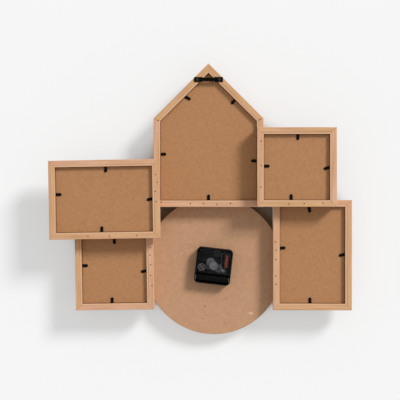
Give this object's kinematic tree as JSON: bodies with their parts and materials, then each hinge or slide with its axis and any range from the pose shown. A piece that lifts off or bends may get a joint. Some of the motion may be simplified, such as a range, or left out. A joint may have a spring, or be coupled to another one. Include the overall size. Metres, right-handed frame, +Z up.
{
  "type": "photo frame wall clock",
  "caption": "Wall clock made of nailed wooden picture frames in three layers, one of them house-shaped, around a round battery clock.",
  "frame": {"origin": "middle notch of the sawtooth hanger, on the plane of the house frame's back", "axes": "+Z up, -Y the way the pictures and the dial face, +Y towards the wall, +X to the right as seen from the front; names with left and right are as seen from behind"},
  "size_m": [0.4787, 0.066, 0.432],
  "materials": {
    "rail_wood": "sanded, clear matt lacquer",
    "fibre_board": "plain hardboard and MDF",
    "glass": "clear 2 mm picture glass",
    "paper": "matt card",
    "dial_card": "matt printed dial",
    "black_steel": "black oxide",
    "brad_steel": "dull drawn steel",
    "brass": "turned",
    "black_plastic": "moulded ABS",
    "smoked_plastic": "smoked clear styrene",
    "grey_plastic": "moulded acetal",
    "copper": "enamelled copper wire",
    "soft_iron": "stamped plate",
    "nickel": "nickel plate",
    "circuit": "solder resist",
    "battery_sleeve": "printed film",
    "hand_black": "matt black paint"
  },
  "bodies": {
    "root": {"house_frame": "rail_wood", "landscape_frame": "rail_wood", "upper_square_frame": "rail_wood", "lower_square_frame": "rail_wood", "portrait_frame": "rail_wood", "house_backing_board": "fibre_board", "landscape_backing_board": "fibre_board", "upper_square_backing_board": "fibre_board", "lower_square_backing_board": "fibre_board", "portrait_backing_board": "fibre_board", "prints": "paper", "glass_panes": "glass", "tab_shanks": "black_steel", "frame_brads": "brad_steel", "sawtooth_hanger": "black_steel", "hanger_nails": "black_steel", "clock_board": "fibre_board", "clock_rim": "rail_wood", "dial": "dial_card", "movement_case": "black_plastic", "movement_cover": "smoked_plastic", "nut_and_washer": "brass", "battery_contacts": "nickel", "drive_coil": "copper", "stator": "soft_iron", "circuit_board": "circuit"},
    "minute_works": {"minute_hand": "hand_black", "minute_pinion": "brass"},
    "hour_works": {"hour_hand": "hand_black", "hour_wheel": "grey_plastic"},
    "motion_wheel": {"motion_wheel": "grey_plastic"},
    "set_knob": {"set_knob": "black_plastic"},
    "second_works": {"second_hand": "hand_black", "second_wheel": "grey_plastic"},
    "middle_wheel": {"middle_wheel": "grey_plastic"},
    "rotor": {"rotor": "grey_plastic"},
    "third_wheel": {"third_wheel": "grey_plastic"},
    "centre_wheel": {"centre_wheel": "grey_plastic"},
    "landscape_tab_top": {"landscape_tab_top": "black_steel"},
    "landscape_tab_left": {"landscape_tab_left": "black_steel"},
    "landscape_tab_right": {"landscape_tab_right": "black_steel"},
    "landscape_tab_bottom": {"landscape_tab_bottom": "black_steel"},
    "lower_square_tab_top": {"lower_square_tab_top": "black_steel"},
    "lower_square_tab_left": {"lower_square_tab_left": "black_steel"},
    "lower_square_tab_right": {"lower_square_tab_right": "black_steel"},
    "lower_square_tab_bottom": {"lower_square_tab_bottom": "black_steel"},
    "house_tab_sill": {"house_tab_sill": "black_steel"},
    "house_tab_wall_left": {"house_tab_wall_left": "black_steel"},
    "house_tab_wall_right": {"house_tab_wall_right": "black_steel"},
    "house_tab_rafter_left": {"house_tab_rafter_left": "black_steel"},
    "house_tab_rafter_right": {"house_tab_rafter_right": "black_steel"},
    "upper_square_tab_top": {"upper_square_tab_top": "black_steel"},
    "upper_square_tab_left": {"upper_square_tab_left": "black_steel"},
    "upper_square_tab_right": {"upper_square_tab_right": "black_steel"},
    "upper_square_tab_bottom": {"upper_square_tab_bottom": "black_steel"},
    "portrait_tab_top": {"portrait_tab_top": "black_steel"},
    "portrait_tab_left": {"portrait_tab_left": "black_steel"},
    "portrait_tab_right": {"portrait_tab_right": "black_steel"},
    "portrait_tab_bottom": {"portrait_tab_bottom": "black_steel"},
    "battery": {"battery": "battery_sleeve"}
  },
  "joints": [
    {"name": "minute_works_turn", "type": "hinge", "parent": "root", "child": "minute_works", "pos_m": [-0.00795, -0.022, -0.29425], "axis": [0, 1, 0], "continuous": true},
    {"name": "hour_works_turn", "type": "hinge", "parent": "root", "child": "hour_works", "pos_m": [-0.00795, -0.022, -0.29425], "axis": [0, 1, 0], "continuous": true},
    {"name": "motion_wheel_turn", "type": "hinge", "parent": "root", "child": "motion_wheel", "pos_m": [0.00003, -0.022, -0.29484], "axis": [0, 1, 0], "continuous": true},
    {"name": "set_knob_turn", "type": "hinge", "parent": "root", "child": "set_knob", "pos_m": [0.011, -0.022, -0.29564], "axis": [0, 1, 0], "continuous": true},
    {"name": "second_works_turn", "type": "hinge", "parent": "root", "child": "second_works", "pos_m": [-0.00795, -0.022, -0.29425], "axis": [0, 1, 0], "continuous": true},
    {"name": "middle_wheel_turn", "type": "hinge", "parent": "root", "child": "middle_wheel", "pos_m": [-0.0153, -0.022, -0.29806], "axis": [0, 1, 0], "continuous": true},
    {"name": "rotor_turn", "type": "hinge", "parent": "root", "child": "rotor", "pos_m": [-0.02276, -0.022, -0.30193], "axis": [0, 1, 0], "continuous": true},
    {"name": "third_wheel_turn", "type": "hinge", "parent": "root", "child": "third_wheel", "pos_m": [-0.00323, -0.022, -0.28798], "axis": [0, 1, 0], "continuous": true},
    {"name": "centre_wheel_turn", "type": "hinge", "parent": "root", "child": "centre_wheel", "pos_m": [-0.00795, -0.022, -0.29425], "axis": [0, 1, 0], "continuous": true},
    {"name": "landscape_tab_top_bend", "type": "hinge", "parent": "root", "child": "landscape_tab_top", "pos_m": [0.16173, 0.0166, -0.13625], "axis": [0.9998, 0, -0.0175], "range_deg": [0, 88]},
    {"name": "landscape_tab_left_bend", "type": "hinge", "parent": "root", "child": "landscape_tab_left", "pos_m": [0.24044, 0.0166, -0.18024], "axis": [-0.0175, 0, -0.9998], "range_deg": [0, 88]},
    {"name": "landscape_tab_right_bend", "type": "hinge", "parent": "root", "child": "landscape_tab_right", "pos_m": [0.08784, 0.0166, -0.18689], "axis": [0.1564, 0, 0.9877], "range_deg": [0, 88]},
    {"name": "landscape_tab_bottom_bend", "type": "hinge", "parent": "root", "child": "landscape_tab_bottom", "pos_m": [0.16761, 0.0166, -0.23917], "axis": [-0.9998, 0, 0.0175], "range_deg": [0, 88]},
    {"name": "lower_square_tab_top_bend", "type": "hinge", "parent": "root", "child": "lower_square_tab_top", "pos_m": [0.15038, -0.0054, -0.2502], "axis": [0.9998, 0, -0.0175], "range_deg": [0, 88]},
    {"name": "lower_square_tab_left_bend", "type": "hinge", "parent": "root", "child": "lower_square_tab_left", "pos_m": [0.20155, -0.0054, -0.2937], "axis": [-0.0175, 0, -0.9998], "range_deg": [0, 88]},
    {"name": "lower_square_tab_right_bend", "type": "hinge", "parent": "root", "child": "lower_square_tab_right", "pos_m": [0.09892, -0.0054, -0.30174], "axis": [0.1564, 0, 0.9877], "range_deg": [0, 88]},
    {"name": "lower_square_tab_bottom_bend", "type": "hinge", "parent": "root", "child": "lower_square_tab_bottom", "pos_m": [0.15376, -0.0054, -0.35307], "axis": [-0.9998, 0, 0.0175], "range_deg": [0, 88]},
    {"name": "house_tab_sill_bend", "type": "hinge", "parent": "root", "child": "house_tab_sill", "pos_m": [0, -0.0054, -0.1891], "axis": [-1, 0, 0], "range_deg": [0, 88]},
    {"name": "house_tab_wall_left_bend", "type": "hinge", "parent": "root", "child": "house_tab_wall_left", "pos_m": [0.0764, -0.0054, -0.11586], "axis": [0, 0, -1], "range_deg": [0, 88]},
    {"name": "house_tab_wall_right_bend", "type": "hinge", "parent": "root", "child": "house_tab_wall_right", "pos_m": [-0.0764, -0.0054, -0.12655], "axis": [0, 0, 1], "range_deg": [0, 88]},
    {"name": "house_tab_rafter_left_bend", "type": "hinge", "parent": "root", "child": "house_tab_rafter_left", "pos_m": [0.03651, -0.0054, -0.02485], "axis": [0.4848, 0, -0.8746], "range_deg": [0, 88]},
    {"name": "house_tab_rafter_right_bend", "type": "hinge", "parent": "root", "child": "house_tab_rafter_right", "pos_m": [-0.04235, -0.0054, -0.02975], "axis": [0.7071, 0, 0.7071], "range_deg": [0, 88]},
    {"name": "upper_square_tab_top_bend", "type": "hinge", "parent": "root", "child": "upper_square_tab_top", "pos_m": [-0.14045, 0.0166, -0.0857], "axis": [1, 0, 0], "range_deg": [0, 88]},
    {"name": "upper_square_tab_left_bend", "type": "hinge", "parent": "root", "child": "upper_square_tab_left", "pos_m": [-0.0875, 0.0166, -0.13555], "axis": [0, 0, -1], "range_deg": [0, 88]},
    {"name": "upper_square_tab_right_bend", "type": "hinge", "parent": "root", "child": "upper_square_tab_right", "pos_m": [-0.18964, 0.0166, -0.13762], "axis": [0.2756, 0, 0.9613], "range_deg": [0, 88]},
    {"name": "upper_square_tab_bottom_bend", "type": "hinge", "parent": "root", "child": "upper_square_tab_bottom", "pos_m": [-0.1301, 0.0166, -0.1885], "axis": [-1, 0, 0], "range_deg": [0, 88]},
    {"name": "portrait_tab_top_bend", "type": "hinge", "parent": "root", "child": "portrait_tab_top", "pos_m": [-0.15932, -0.0054, -0.19993], "axis": [0.9903, 0, -0.1392], "range_deg": [0, 88]},
    {"name": "portrait_tab_left_bend", "type": "hinge", "parent": "root", "child": "portrait_tab_left", "pos_m": [-0.11327, -0.0054, -0.26526], "axis": [-0.0698, 0, -0.9976], "range_deg": [0, 88]},
    {"name": "portrait_tab_right_bend", "type": "hinge", "parent": "root", "child": "portrait_tab_right", "pos_m": [-0.21548, -0.0054, -0.27523], "axis": [0.1736, 0, 0.9848], "range_deg": [0, 88]},
    {"name": "portrait_tab_bottom_bend", "type": "hinge", "parent": "root", "child": "portrait_tab_bottom", "pos_m": [-0.16088, -0.0054, -0.3524], "axis": [-1, 0, 0], "range_deg": [0, 88]},
    {"name": "battery_slide", "type": "slide", "parent": "root", "child": "battery", "axis": [0, 1, 0], "range_m": [0, 0.02]}
  ],
  "couplings": [
    {"joint": "motion_wheel_turn", "follows": "minute_works_turn", "ratio": -0.33333},
    {"joint": "hour_works_turn", "follows": "minute_works_turn", "ratio": 0.083333},
    {"joint": "set_knob_turn", "follows": "minute_works_turn", "ratio": 0.4},
    {"joint": "middle_wheel_turn", "follows": "second_works_turn", "ratio": -5},
    {"joint": "rotor_turn", "follows": "second_works_turn", "ratio": 30},
    {"joint": "third_wheel_turn", "follows": "second_works_turn", "ratio": -0.13333},
    {"joint": "centre_wheel_turn", "follows": "second_works_turn", "ratio": 0.016667}
  ]
}
